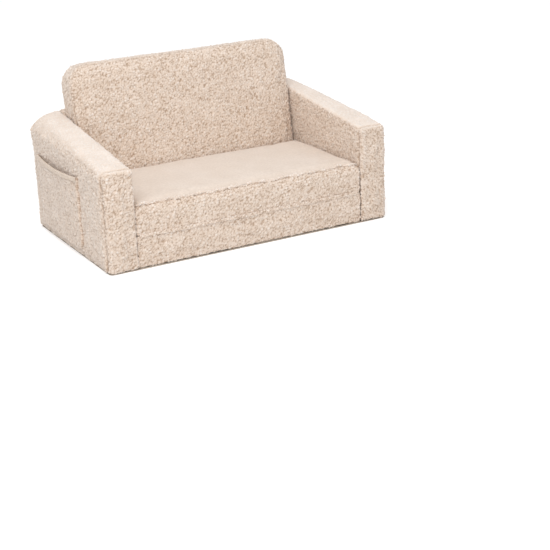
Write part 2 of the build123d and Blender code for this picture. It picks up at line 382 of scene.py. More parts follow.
def add_group(piece, name, weight):
    """A vertex group from an array of weights, in steps of a tenth."""
    group = piece.vertex_groups.new(name=name)
    steps = np.round(np.broadcast_to(weight, len(piece.data.vertices)), 1)
    for share in np.unique(steps):
        group.add(np.nonzero(steps == share)[0].tolist(), float(share), "REPLACE")


def add_pile(piece, weight, crease_shade_mask=0.0, free=1.0, pressed_and_lit=0.0):
    """Raises curls where the weight is 1 and soft waves where the cloth is free. Keeps the curls'
    height in the attribute 'pile', lowered as painted shade in a crease, and evened and raised as
    painted light where pile is flattened and lit."""
    start, no = points(piece), normals(piece)
    add_group(piece, "curly", weight)
    add_group(piece, "free", free)
    for settings in curls:
        apply(piece, "DISPLACE", vertex_group="curly", **settings)
    height = ((points(piece) - start) * no).sum(axis=1)
    apply(piece, "DISPLACE", vertex_group="curly", **patches)
    apply(piece, "DISPLACE", vertex_group="free", **waves)
    gap, tip = np.percentile(height[weight > full_curl], low_and_high)
    shown = np.clip((height - gap) / (tip - gap), 0, 1)
    # Flattened, lit pile loses contrast and is paled as painted light.
    shown = shown * (1 - pressed_flat * pressed_and_lit) + painted_light_pale * pressed_and_lit
    # Painted shade darkens the pile in creases and along sewn edges.
    shown = shown * (1 - painted_crease_shade * crease_shade_mask)
    layer = piece.data.attributes.new("pile", "FLOAT", "POINT")
    layer.data.foreach_set("value", shown.astype(np.float32))
    print(piece.name, "curls from", round(gap * 1000, 1), "to", round(tip * 1000, 1), "mm")


print("helpers ready")

# %% [markdown]
# ## Finishes
# The cloth gets its colour from the pile attribute, with light and shade painted in: deep gaps get
# a warm dark painted shade, curl tips a pale painted light. Fine noise adds fibres to the surface
# normal, and a weak sheen gives the soft bright rim of a fluffy cloth. Every pattern reads Object
# coordinates, so it stays on the piece when the piece moves.

# %% Node helpers
WHITE = (1, 1, 1)


def finish(name, roughness):
    """A new material with its tree, shader and object coordinates."""
    material = bpy.data.materials.new(name)
    material.use_nodes = True
    tree = material.node_tree
    shader = tree.nodes["Principled BSDF"]
    shader.inputs["Roughness"].default_value = roughness
    place = tree.nodes.new("ShaderNodeTexCoord")
    return material, tree, shader, place.outputs["Object"]


def noise(tree, place, scale, detail):
    """A noise texture on a place."""
    node = tree.nodes.new("ShaderNodeTexNoise")
    node.inputs["Scale"].default_value = scale
    node.inputs["Detail"].default_value = detail
    tree.links.new(place, node.inputs["Vector"])
    return node.outputs["Fac"]


def ramp(tree, value, stops):
    """Colours along a value, as (place, colour) stops."""
    node = tree.nodes.new("ShaderNodeValToRGB")
    while len(node.color_ramp.elements) < len(stops):
        node.color_ramp.elements.new(0.5)
    for element, (place, colour) in zip(node.color_ramp.elements, stops):
        element.position = place
        element.color = (*colour, 1)
    tree.links.new(value, node.inputs["Fac"])
    return node.outputs["Color"]


def tones(tree, place, scale, detail, dark, light=WHITE, ends=(0.3, 0.7)):
    """A noise of one scale, coloured from a dark tone to a light one."""
    return ramp(tree, noise(tree, place, scale, detail), [(ends[0], dark), (ends[1], light)])


def multiply(tree, share, first, second):
    """Darkens one colour by another, by a share."""
    node = tree.nodes.new("ShaderNodeMix")
    node.data_type = "RGBA"
    node.blend_type = "MULTIPLY"
    node.inputs[0].default_value = share
    tree.links.new(first, node.inputs[6])
    tree.links.new(second, node.inputs[7])
    return node.outputs[2]


def bump(tree, shader, layers):
    """Chains bumps of (height socket, strength, distance) into the shader's normal."""
    last = None
    for height, strength, distance in layers:
        node = tree.nodes.new("ShaderNodeBump")
        node.inputs["Strength"].default_value = strength
        node.inputs["Distance"].default_value = distance
        tree.links.new(height, node.inputs["Height"])
        if last:
            tree.links.new(last, node.inputs["Normal"])
        last = node.outputs["Normal"]
    tree.links.new(last, shader.inputs["Normal"])


def add_sheen(shader, weight):
    """The soft bright rim of a fluffy cloth."""
    shader.inputs["Sheen Weight"].default_value = weight
    shader.inputs["Sheen Roughness"].default_value = 0.5


print("helpers ready")


# %% Sherpa
def sherpa_finish(name, gap, body, tip, pressed_and_lit):
    """Curly pile: painted shade in the gaps, painted light on the tips and on flattened, lit pile.
    """
    material, tree, shader, place = finish(name, 0.95)
    pile = tree.nodes.new("ShaderNodeAttribute")
    pile.attribute_name = "pile"
    # The stops paint shade into low gaps and light onto high tips and flattened, lit pile.
    stops = [(0.05, gap), (0.30, body), (0.8, tip), (1.0, pressed_and_lit)]
    colour = ramp(tree, pile.outputs["Fac"], stops)
    fibres = tones(tree, place, 620, 3, (0.86, 0.84, 0.82))
    lie = tones(tree, place, 22, 1, (0.95, 0.935, 0.92), ends=(0.35, 0.65))
    colour = multiply(tree, 0.8, colour, fibres)
    tree.links.new(multiply(tree, 1.0, colour, lie), shader.inputs["Base Color"])
    add_sheen(shader, 0.45)
    tufts, hairs = noise(tree, place, 380, 3), noise(tree, place, 1100, 2)
    bump(tree, shader, [(tufts, 0.5, 1.2 * MM), (hairs, 0.35, 0.5 * MM)])
    return material


# The gap colour is painted shade; the tip and the last colour are painted light.
sherpa = sherpa_finish(
    "sherpa_curls",
    gap=(0.48, 0.345, 0.25),
    body=(0.775, 0.64, 0.535),
    tip=(0.875, 0.76, 0.67),
    pressed_and_lit=(0.90, 0.82, 0.755),
)
print("finish", sherpa.name)


# %% Smooth cloth
def smooth_finish(name, colour, shade):
    """Short brushed pile: almost even, with a faint lie of the fibres."""
    material, tree, shader, place = finish(name, 0.9)
    lie = tones(tree, place, 16, 2, shade, colour)
    fibres = tones(tree, place, 700, 3, (0.9, 0.89, 0.88), ends=(0.25, 0.75))
    tufts = tones(tree, place, 170, 2, (0.93, 0.92, 0.91), (1.02, 1.02, 1.02), ends=(0.3, 0.65))
    cloth = multiply(tree, 0.7, lie, fibres)
    tree.links.new(multiply(tree, 1.0, cloth, tufts), shader.inputs["Base Color"])
    add_sheen(shader, 0.3)
    soft, hairs = noise(tree, place, 170, 2), noise(tree, place, 1300, 2)
    bump(tree, shader, [(soft, 0.4, 1.6 * MM), (hairs, 0.3, 0.4 * MM)])
    return material


smooth_cloth = smooth_finish(
    "smooth_short_pile", colour=(0.785, 0.68, 0.595), shade=(0.745, 0.635, 0.545)
)
print("finish", smooth_cloth.name)


# %% Woven, plastic and metal finishes
def woven_finish(name, dark, light, threads, directions):
    """Plain weave from two crossing bands of threads."""
    material, tree, shader, place = finish(name, 0.8)
    cross = tree.nodes.new("ShaderNodeMath")
    cross.operation = "MULTIPLY"
    for direction, socket in zip(directions, cross.inputs):
        wave = tree.nodes.new("ShaderNodeTexWave")
        wave.bands_direction = direction
        wave.inputs["Scale"].default_value = threads
        wave.inputs["Distortion"].default_value = 0.6
        tree.links.new(place, wave.inputs["Vector"])
        tree.links.new(wave.outputs["Fac"], socket)
    weave = cross.outputs[0]
    colour = ramp(tree, weave, [(0.05, dark), (0.6, light)])
    wear = tones(tree, place, 60, 2, (0.92, 0.91, 0.9))
    tree.links.new(multiply(tree, 1.0, colour, wear), shader.inputs["Base Color"])
    bump(tree, shader, [(weave, 0.5, 0.4 * MM)])
    return material


def solid_finish(name, colour, shade, roughness, metal):
    """Thread, plastic or metal with a faint tone change and a fine surface."""
    material, tree, shader, place = finish(name, roughness)
    tone = tones(tree, place, 180, 3, shade, colour)
    tree.links.new(tone, shader.inputs["Base Color"])
    shader.inputs["Metallic"].default_value = metal
    bump(tree, shader, [(noise(tree, place, 900, 2), 0.15, 0.3 * MM)])
    return material


binding_tape = woven_finish("binding_tape", (0.68, 0.56, 0.46), (0.86, 0.75, 0.65), 260, "YZ")
zip_cloth = woven_finish("zip_cloth", (0.5, 0.41, 0.33), (0.72, 0.62, 0.50), 300, "XZ")
grip_cloth = woven_finish("grip_cloth", (0.40, 0.34, 0.28), (0.58, 0.50, 0.42), 120, "XY")
stitch_thread = solid_finish("stitch_thread", (0.80, 0.68, 0.55), (0.70, 0.58, 0.45), 0.7, 0.0)
zip_plastic = solid_finish("zip_plastic", (0.74, 0.64, 0.52), (0.68, 0.58, 0.46), 0.45, 0.0)
zip_metal = solid_finish("zip_metal", (0.62, 0.61, 0.60), (0.52, 0.51, 0.50), 0.32, 1.0)
print("finishes", len([material for material in bpy.data.materials if material.use_nodes]))


# %% Put a finish on a piece
def dress(piece, material, body, nodes):
    """Gives a piece its finish and body, and hides the CAD nodes that it stands for."""
    piece.data.materials.clear()
    piece.data.materials.append(material)
    only(piece)
    bpy.ops.object.shade_smooth()
    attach(piece, body)
    if nodes:
        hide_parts(*nodes)
    print(piece.name, "triangles", sum(len(face.vertices) - 2 for face in piece.data.polygons))


# %% Cut a piece in two
def cut(piece, name, axis, place, keep):
    """A closed copy of what a piece has on one side of a plane across an axis."""
    copy = piece.copy()
    copy.data = piece.data.copy()
    copy.name = name
    copy.data.name = name
    bpy.context.collection.objects.link(copy)
    pick(copy, "verts")
    direction = Vector([float(i == axis) for i in range(3)])
    bpy.ops.mesh.bisect(
        plane_co=direction * place,
        plane_no=direction,
        use_fill=True,
        clear_inner=keep == "above",
        clear_outer=keep == "below",
    )
    done()
    return copy


def discard(piece):
    """Removes a working piece that has been cut up."""
    bpy.data.meshes.remove(piece.data)


print("helpers ready")

# %% [markdown]
# ## Arms
# Each arm is a tall narrow foam block. Its top slopes down to the front, its rear top corner is
# well rounded, and a front panel wraps a little way round the front edges, with a seam all round.
# We block the arm out from a cube, bevel its edges by their place, puff it and then cut it at the
# seam. The right arm is the left one mirrored, because the two covers are sewn from the same
# pattern.

# %% Block out the left arm
mid_height = 100 * MM  # edges above this belong to the top
rear_round = 32 * MM
side_round = 16 * MM


def top_edge_at(y):
    """A test for the top edge that runs across at a depth."""
    return lambda m, a: mostly(a, 0) and near(m.y, y) and m.z > mid_height


def arm_block():
    """A block with the arm's sloping top and rounded edges."""
    low, high = (left_outer, front_y, foot_z), (left_inner, rear_y, arm_rear_height)
    arm = add_block("left_arm", low, high)
    pick(arm, "verts", lambda m, a: near(m.y, front_y) and m.z > mid_height)
    bpy.ops.transform.translate(value=(0, 0, arm_front_height - arm_rear_height))
    done()
    round_edges(arm, top_edge_at(rear_y), rear_round, segments=8)
    round_edges(arm, top_edge_at(front_y), radius=10 * MM, segments=4)
    outer = lambda m, a: near(m.x, left_outer) and m.z > foot_z + 5 * MM
    round_edges(arm, outer, side_round, segments=6)
    inner_front = lambda m, a: near(m.x, left_inner) and near(m.y, front_y) and mostly(a, 2)
    round_edges(arm, inner_front, radius=5 * MM, segments=3)
    inner_top = lambda m, a: near(m.x, left_inner) and m.z > mid_height and mostly(a, 1)
    round_edges(arm, inner_top, radius=9 * MM, segments=4)
    return arm


# %% Give it its soft shoulder
shoulder_growth = 42 * MM  # how much rounder the outer top edge is at the rear
corner_growth = 48 * MM  # how much rounder the rear top edge is at the outside
foot_side_round = 9 * MM
foot_front_round = 7 * MM


def arm_line(y):
    """Height of the sloping top line of the arms at a depth."""
    slope = (arm_rear_height - arm_front_height) / (rear_y - front_y)
    return arm_front_height + slope * (y - front_y)


def roll_corner(side_gap, top_gap, radius):
    """Moves points near two faces in to a round of the given radius, and returns their new gaps."""
    a, b = np.maximum(radius - side_gap, 0), np.maximum(radius - top_gap, 0)
    share = radius / np.maximum(np.hypot(a, b), radius)
    return side_gap + a * (1 - share), top_gap + b * (1 - share)


def soften_arm(arm):
    """Rounds the outer and the rear top edge, most where they meet, and a little the foot."""
    x, y, z = points(arm).T
    to_rear = fade(y - front_y, rear_y - front_y)
    to_outer = fade(left_inner - x, left_inner - left_outer)
    top = arm_line(y)
    side, down = roll_corner(x - left_outer, top - z, side_round + shoulder_growth * to_rear**1.5)
    x, z = left_outer + side, top - down
    back, down = roll_corner(rear_y - y, top - z, rear_round + corner_growth * to_outer)
    y, z = rear_y - back, top - down
    side, up = roll_corner(x - left_outer, z - foot_z, foot_side_round)
    x, z = left_outer + side, foot_z + up
    front, up = roll_corner(y - front_y, z - foot_z, foot_front_round)
    y, z = front_y + front, foot_z + up
    move_points(arm, np.column_stack((x, y, z)))


# %% Puff the left arm and mirror it
arm_swell = 2.5 * MM
skin = 0.5 * MM  # how far a cover may pass the faces that it shares with a neighbour

left_arm = arm_block()
remesh(left_arm)
soften_arm(left_arm)
puff(left_arm, cap=5.5 * MM)
hold_inside(
    left_arm,
    (left_outer - arm_swell, front_y - arm_swell, foot_z),
    (left_inner + skin, rear_y + skin, arm_rear_height + 2 * arm_swell),
)
smooth_once(left_arm)
lower_rim(left_arm)

right_arm = left_arm.copy()
right_arm.data = left_arm.data.copy()
right_arm.name = "right_arm"
bpy.context.collection.objects.link(right_arm)
co = points(right_arm)
co[:, 0] = 2 * sofa_mid - co[:, 0]
move_points(right_arm, co)
turn_inside_out(right_arm)

# %% Seam, pile and front panel of both arms
calm_edge = 20 * MM  # cloth this near to a neighbour or the floor has no waves
arm_seam_depth = arm_seam_width = 3.2 * MM
# Arm tops get flatter curls and a painted light that pales them.
most_pressed_and_lit = 0.65


def curls_above(height):
    """Full curls from a few millimetres up, none where the cloth meets what is under it."""
    return fade(height - 0.5 * MM, 4 * MM)


def finish_arm(side, arm):
    """Seams an arm, gives it its pile and cuts it into sleeve and front panel."""
    crease = seam(arm, 1, arm_seam_y, arm_seam_depth, arm_seam_width)
    x, y, z = points(arm).T
    # Faces that look up are flattened and paled with painted light from above.
    top_pressed_and_lit = most_pressed_and_lit * fade(normals(arm)[:, 2] - 0.35, 0.6)
    from_inner = np.minimum(np.abs(x - left_inner), np.abs(x - right_inner))
    free = fade(from_inner, calm_edge) * fade(z - foot_z, calm_edge)
    # The seam's crease is darkened with painted shade.
    add_pile(arm, curls_above(z) * (1 - 0.4 * top_pressed_and_lit), crease, free, top_pressed_and_lit)
    sleeve = cut(arm, side + "_arm_sleeve_cover", 1, arm_seam_y, keep="above")
    front = cut(arm, side + "_arm_front_cover", 1, arm_seam_y, keep="below")
    discard(arm)
    dress(sleeve, sherpa, "shell", [side + "_arm_sleeve", side + "_arm_foam"])
    dress(front, sherpa, "shell", [side + "_arm_front_panel"])


finish_arm("left", left_arm)
finish_arm("right", right_arm)

# %% [markdown]
# ## Back wall
# Between the arms stands a wedge of foam whose front leans like the backrest. It is one more block:
# a bisect gives it a row of vertices where the lean starts, and the row above is moved back.

# %% Block out and puff the back wall
wall_low, wall_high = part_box("back_wall_front_cloth")
wall_foot_y, wall_seam_y = wall_low.y, wall_high.y
wall_draw = math.tan(lean) * (arm_line(wall_foot_y + 40 * MM) - panel_thick)
wall_top_y = wall_foot_y + wall_draw
wall_corner = Vector((right_inner, rear_y, arm_rear_height))

wall = add_block("back_wall", (left_inner, wall_foot_y, foot_z), wall_corner)
pick(wall, "verts")
bpy.ops.mesh.bisect(plane_co=(0, 0, panel_thick), plane_no=(0, 0, 1))
done()
pick(wall, "verts", lambda m, a: near(m.y, wall_foot_y) and m.z > panel_thick + 5 * MM)
bpy.ops.transform.translate(value=(0, wall_draw, arm_line(wall_top_y) - arm_rear_height))
done()
round_edges(wall, top_edge_at(rear_y), rear_round, segments=8)
round_edges(wall, top_edge_at(wall_top_y), side_round, segments=6)
remesh(wall)
puff(wall, cap=2.5 * MM)
wall_limit = wall_corner + Vector((0, skin, 2 * MM))
hold_inside(wall, (left_inner, wall_foot_y, foot_z), wall_limit)
co = points(wall)
lean_face = wall_foot_y + math.tan(lean) * np.maximum(co[:, 2] - panel_thick, 0)
co[:, 1] = np.maximum(co[:, 1], lean_face)
move_points(wall, co)
smooth_once(wall)
lower_rim(wall)

# %% Pile and two covers of the back wall
z = points(wall)[:, 2]
add_pile(wall, curls_above(z), free=0.6 * fade(z - foot_z, calm_edge))
wall_front = cut(wall, "back_wall_front_cover", 1, wall_seam_y, keep="below")
wall_rear = cut(wall, "back_wall_rear_cover", 1, wall_seam_y, keep="above")
discard(wall)
dress(wall_front, sherpa, "shell", ["back_wall_front_cloth", "back_wall_foam"])
dress(wall_rear, sherpa, "shell", ["back_wall_rear_cloth"])

# %% [markdown]
# ## Mattress panels
# The mattress has three panels: one stays in the shell, one flips forward and one is the backrest.
# Each is modelled lying down with its near end at Y = 0, puffed and cut at its two seams, and is
# put in its place at the very end; the seat and the backrest are crowned too. Lying down, all three
# can share the same few tools.

# %% Panel tools
half_width = panel_width / 2
fold_seam = 1.6 * MM  # a seam right at a fold lies this far from the panel's face
seam_fade = 1.5 * MM


def lying_block(name, length, thick):
    """A block as wide as the panels, lying with its near end at Y = 0."""
    return add_block(name, (-half_width, 0, 0), (half_width, length, thick))


def crown(panel, length, upper, under=(0, 0), draw=0):
    """Domes the two faces of a panel and draws its sides in between the corners."""
    co = points(panel)
    u = co[:, 0] / half_width
    v = (co[:, 1] - length / 2) / (length / 2)
    level = fade(co[:, 2], panel_thick)
    co[:, 2] -= level * (upper[0] * u**2 + upper[1] * v**2)
    co[:, 2] += (1 - level) * (under[0] * u**2 + under[1] * v**2)
    co[:, 0] -= np.sign(u) * np.abs(u) * draw * (1 - v**2)
    move_points(panel, co)


def widen_sides(panel, reach, edge, share=1.0):
    """Moves the outermost strip of a panel out, so that its curls meet the arms."""
    co = points(panel)
    side = fade(np.abs(co[:, 0]) - (half_width - edge), 10 * MM)
    co[:, 0] += np.sign(co[:, 0]) * reach * side * share
    move_points(panel, co)


def close_front_gap(panel):
    """Lets the front corners of a panel reach the arms, so that no dark slot shows."""
    share = 1 - fade(points(panel)[:, 1], 20 * MM)
    widen_sides(panel, reach=3 * MM, edge=10 * MM, share=share)


def clear_ends(panel, length, set_back=2 * MM, reach=10 * MM, most=1.4):
    """Moves the curls at the two ends in, so that they stay off the next panel when it folds."""
    co = points(panel)
    co[:, 1] += set_back * np.clip(1 - co[:, 1] / reach, 0, most)
    co[:, 1] -= set_back * np.clip(1 - (length - co[:, 1]) / reach, 0, most)
    co[:, 1] = np.clip(co[:, 1], -0.25 * MM, length)
    move_points(panel, co)


print("helpers ready")

# %% Cut a panel at its seams
cloths = {"sherpa": sherpa, "smooth_cloth": smooth_cloth}


def settle(panel, place, seams, body, covers):
    """Cuts a panel at its two seams, sets the three parts in place and dresses them."""
    lower, upper = seams
    top_name, band_name, under_name = (name for name, nodes, slot in covers)
    top = cut(panel, top_name, 2, upper, keep="above")
    rest = cut(panel, band_name + "_uncut", 2, upper, keep="below")
    band = cut(rest, band_name, 2, lower, keep="above")
    under = cut(rest, under_name, 2, lower, keep="below")
    discard(rest)
    discard(panel)
    for piece, (name, nodes, slot) in zip((top, band, under), covers):
        piece.data.transform(place)
        dress(piece, cloths[slot], body, nodes)


print("cloths", sorted(cloths))

# %% Base panel
base_thick = panel_thick - foot_z
base_length = base_high.y - base_low.y
base_seams = (fold_seam, base_thick - fold_seam)
base_bulge = 1 * MM

base = lying_block("base_panel", base_length, base_thick)
round_edges(base, lambda m, a: near(m.z, base_thick), radius=3 * MM, segments=3)
round_edges(base, lambda m, a: near(m.z, 0), radius=4 * MM, segments=3)
remesh(base)
puff(base, cap=1.5 * MM)
hold_inside(base, (-half_width, -base_bulge, 0), (half_width, base_length, base_thick))
smooth_once(base)
close_front_gap(base)
x, y, z = points(base).T
outside = y < under_low.y - base_low.y
z = z - rim_drop * (1 - fade(z, rim_height)) * outside
move_points(base, np.column_stack((x, y, z)))
z = points(base)[:, 2]
curly = fade(base_seams[1] - z, seam_fade) * fade(z + 1 * MM, 3 * MM)
add_pile(base, curly, free=0.3)
clear_ends(base, base_length)
base_place = Matrix.Translation((sofa_mid, base_low.y, foot_z))
settle(base, base_place, base_seams, "shell", [
    ("base_panel_top", ["base_panel_top_cloth"], "smooth_cloth"),
    ("base_panel_side_band", ["base_panel_band", "base_panel_foam"], "sherpa"),
    ("base_panel_underside", ["base_panel_under_cloth"], "sherpa"),
])

# %% Seat panel
seat_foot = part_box("seat_panel_under_cloth")[0].z
seat_length = 330 * MM
seat_front_round = 32 * MM
seat_bulge = 2 * MM
seat_swell = 5 * MM
seat_seams = (fold_seam, panel_thick - 9 * MM)
seat_place = Matrix.Translation((sofa_mid, base_low.y, seat_foot))


def seat_top_edge(m, a):
    """The rear and side top edges, with the sides of the front round."""
    at_side = near(abs(m.x), half_width) and not mostly(a, 2)
    at_rear = near(m.y, seat_length) and mostly(a, 0)
    return m.z > panel_thick - seat_front_round - 1 * MM and (at_side or at_rear)


seat = lying_block("seat_panel", seat_length, panel_thick)
front_top_edge = lambda m, a: near(m.z, panel_thick) and near(m.y, 0)
round_edges(seat, front_top_edge, seat_front_round, segments=8)
round_edges(seat, seat_top_edge, radius=18 * MM, segments=6)
round_edges(seat, lambda m, a: near(m.z, 0), radius=3 * MM, segments=3)
remesh(seat)
crown(seat, seat_length, upper=(4 * MM, 5 * MM))
puff(seat, cap=5 * MM)
seat_limit = (half_width, seat_length, panel_thick + seat_swell)
hold_inside(seat, (-half_width, -seat_bulge, 0), seat_limit)
smooth_once(seat)
close_front_gap(seat)
z = points(seat)[:, 2]
curly = fade(seat_seams[1] - z, seam_fade) * fade(z - seat_seams[0], seam_fade)
add_pile(seat, curly, free=np.clip(z / panel_thick, 0.2, 1))
clear_ends(seat, seat_length)
co = points(seat)
at_seam = near(co[:, 2], seat_seams[1], reach=1.5 * MM)
front_edge = co[at_seam & (co[:, 1] < 60 * MM)]
settle(seat, seat_place, seat_seams, "seat", [
    ("seat_panel_top", ["seat_panel_top_cloth"], "smooth_cloth"),
    ("seat_panel_side_band", ["seat_panel_band", "seat_panel_foam"], "sherpa"),
    ("seat_panel_underside", ["seat_panel_under_cloth"], "smooth_cloth"),
])

# %% [markdown]
# ## Two curly rods
# Curls of the band hang over the seam along the seat's front edge, and a rolled seam hides the fold
# between the seat and the base panel. Both are long and thin, so each is a cylinder with the same
# pile on it. The fringe follows the seat's front edge, which is measured on the finished seat.

# %% A soft rod
def soft_rod(name, radius, length, middle, voxel):
    """A cylinder that lies along X, with small even faces."""
    rod = add_rod(name, radius, length, middle, vertices=16, turn=(0, math.pi / 2, 0))
    remesh(rod, voxel)
    return rod


def front_line(edge, steps=41):
    """The foremost place of an edge at even steps across the panel, as two rows: X and Y."""
    marks = np.linspace(-half_width, half_width, steps + 1)
    step = np.digitize(edge[:, 0], marks) - 1
    middles = (marks[1:] + marks[:-1]) / 2
    known = [i for i in range(steps) if (step == i).any()]
    return middles[known], np.array([edge[step == i, 1].min() for i in known])


seam_x, seam_y = front_line(front_edge)
print("the seat's front seam is measured at", len(seam_x), "places")

# %% Fringe along the seat's front seam
fringe_length = panel_width - 8 * MM
fringe_taper = 12 * MM
fringe_waves = ((1.4 * MM, 13 * MM, 0), (1.0 * MM, 5.3 * MM, 1))  # height, length / 2 pi, start

fringe = soft_rod(
    "seat_front_fringe", 3.4 * MM, fringe_length, (0, 0, seat_seams[1]), voxel=1.4 * MM
)
x, y, z = points(fringe).T
taper = fade(fringe_length / 2 - np.abs(x), fringe_taper) ** 0.5
y = y * taper + np.interp(x, seam_x, seam_y) + 1.0 * MM
z = seat_seams[1] + (z - seat_seams[1]) * taper
z = z + sum(height * np.sin(x / length + start) for height, length, start in fringe_waves)
move_points(fringe, np.column_stack((x, y, z)))
# The fringe's curls are evened and paled, as pressed pile with painted light.
add_pile(fringe, np.ones(len(x)), free=0.0, pressed_and_lit=0.4)
fringe.data.transform(seat_place)
dress(fringe, sherpa, "seat", [])

# %% [markdown]
# ## Backrest
# The third panel stands on its end between the arms and leans back. Its upper corners have a large
# round, and its foot is rounded about the pivot, so that it turns without scraping the seat. It is
# made lying down like the others, and a matrix of three directions stands it up.

# %% Where the backrest stands
fold_joint = next(joint for joint in frame["joints"] if joint["name"] == "backrest_fold")
pivot = Vector((sofa_mid, *fold_joint["pos_m"][1:]))
pivot_radius = 0.46 * panel_thick
along = Vector((0, math.sin(lean), math.cos(lean)))
out = Vector((0, math.cos(lean), -math.sin(lean)))
back_place = Matrix((Vector((-1, 0, 0)), along, out)).transposed().to_4x4()
back_place.translation = pivot - (along + out) * pivot_radius
print("the backrest turns about", [round(v, 4) for v in pivot])

# %% Backrest
back_length = 358 * MM
heel_round = 13 * MM
foot_set_back = 1.8 * MM
foot_height = 50 * MM
back_swell = 4 * MM
back_rise = 2 * MM
back_seam = 15 * MM
back_seams = (back_seam, panel_thick - 7 * MM)

back = lying_block("backrest", back_length, panel_thick)
upper_corners = lambda m, a: mostly(a, 2) and near(m.y, back_length)
round_edges(back, upper_corners, radius=56 * MM, segments=12)
round_edges(back, lambda m, a: near(m.z, 0) and near(m.y, 0), pivot_radius, segments=10)
heel = lambda m, a: near(m.z, panel_thick) and near(m.y, 0)
round_edges(back, heel, heel_round, segments=5)
front_rim = lambda m, a: near(m.z, 0) and m.y > pivot_radius / 2
round_edges(back, front_rim, radius=20 * MM, segments=6)
rear_rim = lambda m, a: near(m.z, panel_thick) and m.y > heel_round + 1 * MM
round_edges(back, rear_rim, radius=6 * MM, segments=4)
remesh(back)
crown(back, back_length, upper=(1.5 * MM, 1.5 * MM), under=(6 * MM, 5 * MM), draw=1 * MM)
puff(back, cap=6 * MM)
back_limit = (half_width, back_length + back_rise, panel_thick)
hold_inside(back, (-half_width, 0, -back_swell), back_limit)
smooth_once(back)
widen_sides(back, reach=1 * MM, edge=14 * MM)
crease = seam(back, 2, back_seam, depth=0.8 * MM, width=2.4 * MM)
z = points(back)[:, 2]
curly = fade(back_seams[1] - z, 2 * MM)
# The seam's crease gets half the painted shade.
add_pile(back, curly, 0.5 * crease, free=np.clip(1 - z / panel_thick, 0.2, 1))
foot = fade(foot_height - points(back)[:, 1], 15 * MM)
move_points(back, points(back) - normals(back) * (foot_set_back * foot)[:, None])
settle(back, back_place, back_seams, "backrest", [
    ("backrest_rear", ["backrest_rear_cloth"], "smooth_cloth"),
    ("backrest_side_band", ["backrest_band", "backrest_foam"], "sherpa"),
    ("backrest_front", ["backrest_front_cloth"], "sherpa"),
])

# %% [markdown]
# ## Rolled seam at the front fold
# The second rod is the rolled seam between the seat and the base panel. It is set back, so that
# only its curls show and no ridge.

# %% Front fold roll
roll_low, roll_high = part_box("front_fold_seam")
roll_set_back = Vector((0, 1.8 * MM, 0))
roll_over = 2 * MM  # how far the roll is longer than its solid, at each end
roll_extra = 1.2 * MM
roll_proud = 0.6 * MM

roll_radius = (roll_high.z - roll_low.z) / 2 + roll_extra
roll_length = roll_high.x - roll_low.x + 2 * roll_over
roll_middle = (roll_low + roll_high) / 2 + roll_set_back
roll = soft_rod("front_fold_roll", roll_radius, roll_length, roll_middle, voxel=1.8 * MM)
add_pile(roll, np.ones(len(roll.data.vertices)), free=0.0)
roll_limit = (roll_high.x + roll_over, 0, 1)
hold_inside(roll, (roll_low.x - roll_over, base_low.y - roll_proud, 0), roll_limit)
dress(roll, sherpa, "shell", ["front_fold_seam"])

# %% [markdown]
# ## Pocket on the left arm
# The pocket is one flat piece of sherpa with its three sewn edges turned in to the arm and its
# mouth open at the top. It is a grid whose rows are bent to the pocket's outline: near the outline
# the sheet curves back to the arm, and along the mouth it sags and stands off the arm a little.
# Solidify gives it its thickness.

# %% The pocket's mouth
pocket_low, pocket_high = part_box("pocket_panel")
pocket_mid = (pocket_low.y + pocket_high.y) / 2
pocket_half = (pocket_high.y - pocket_low.y) / 2
pocket_sag = 5 * MM
pocket_gape = 9 * MM


def to_mouth_end(y):
    """Falls from 1 in the middle of the mouth to 0 at its two ends."""
    return 1 - ((y - pocket_mid) / pocket_half) ** 2


def mouth_height(y):
    """Height of the sagging mouth at a place along it."""
    return pocket_high.z - pocket_sag * to_mouth_end(y)


def gape(y):
    """How far the mouth stands off the arm at a place along it."""
    return pocket_gape * np.clip(to_mouth_end(y), 0, 1)


print("the mouth sags to", round(mouth_height(pocket_mid), 4))

# %% Pocket sheet
pocket_corner = 26 * MM
pocket_turn = 7 * MM  # the strip along the sewn edges that curves back to the arm
pocket_fullness = 1.6 * MM
pocket_cloth = 2.5 * MM

pocket = add_grid("pocket_cover", columns=110, rows=76)
across, up, flat = points(pocket).T
up = (up + 1) / 2
rise = up * (pocket_high.z - pocket_low.z)
in_corner = np.clip(pocket_corner - rise, 0, pocket_corner)
half = pocket_half - (pocket_corner - np.sqrt(pocket_corner**2 - in_corner**2))
y = pocket_mid + across * half
z = pocket_low.z + up * (mouth_height(y) - pocket_low.z)
from_mid = np.abs(y - pocket_mid)
past_corner = np.maximum(from_mid - (pocket_half - pocket_corner), 0)
inside = np.where(
    rise < pocket_corner, pocket_corner - np.hypot(past_corner, in_corner), pocket_half - from_mid
)
turn = 1 - fade(inside, pocket_turn)
proud = (pocket_high.x - pocket_low.x) * np.sqrt(np.maximum(1 - turn**2, 0))
full = pocket_fullness * fade(inside, 60 * MM) * fade(1 - up, 0.25) + gape(y) * up**3
move_points(pocket, np.column_stack((pocket_high.x - proud - full, y, z)))
print("pocket", round(float(np.ptp(y)), 4), "by", round(float(np.ptp(z)), 4))

# %% Pocket pile and thickness
pick(pocket, "faces")
bpy.ops.mesh.normals_make_consistent(inside=False)
done()
if sum(face.normal.x for face in pocket.data.polygons) > 0:
    turn_inside_out(pocket)
sewn_edge = fade(pocket_high.x - points(pocket)[:, 0], 3 * MM)
# Painted shade darkens the turned-in sewn edges of the pocket.
add_pile(pocket, 0.3 + 0.7 * sewn_edge, 1.1 * (1 - sewn_edge), 0.5 * sewn_edge)
apply(pocket, "SOLIDIFY", thickness=pocket_cloth, offset=-1)
dress(pocket, sherpa, "shell", ["pocket_panel"])

# %% [markdown]
# ## Binding round the pocket's mouth
# A tape with one row of stitches covers the raw edge. It is a grid folded round the mouth, and one
# stitch is made and copied in a row.

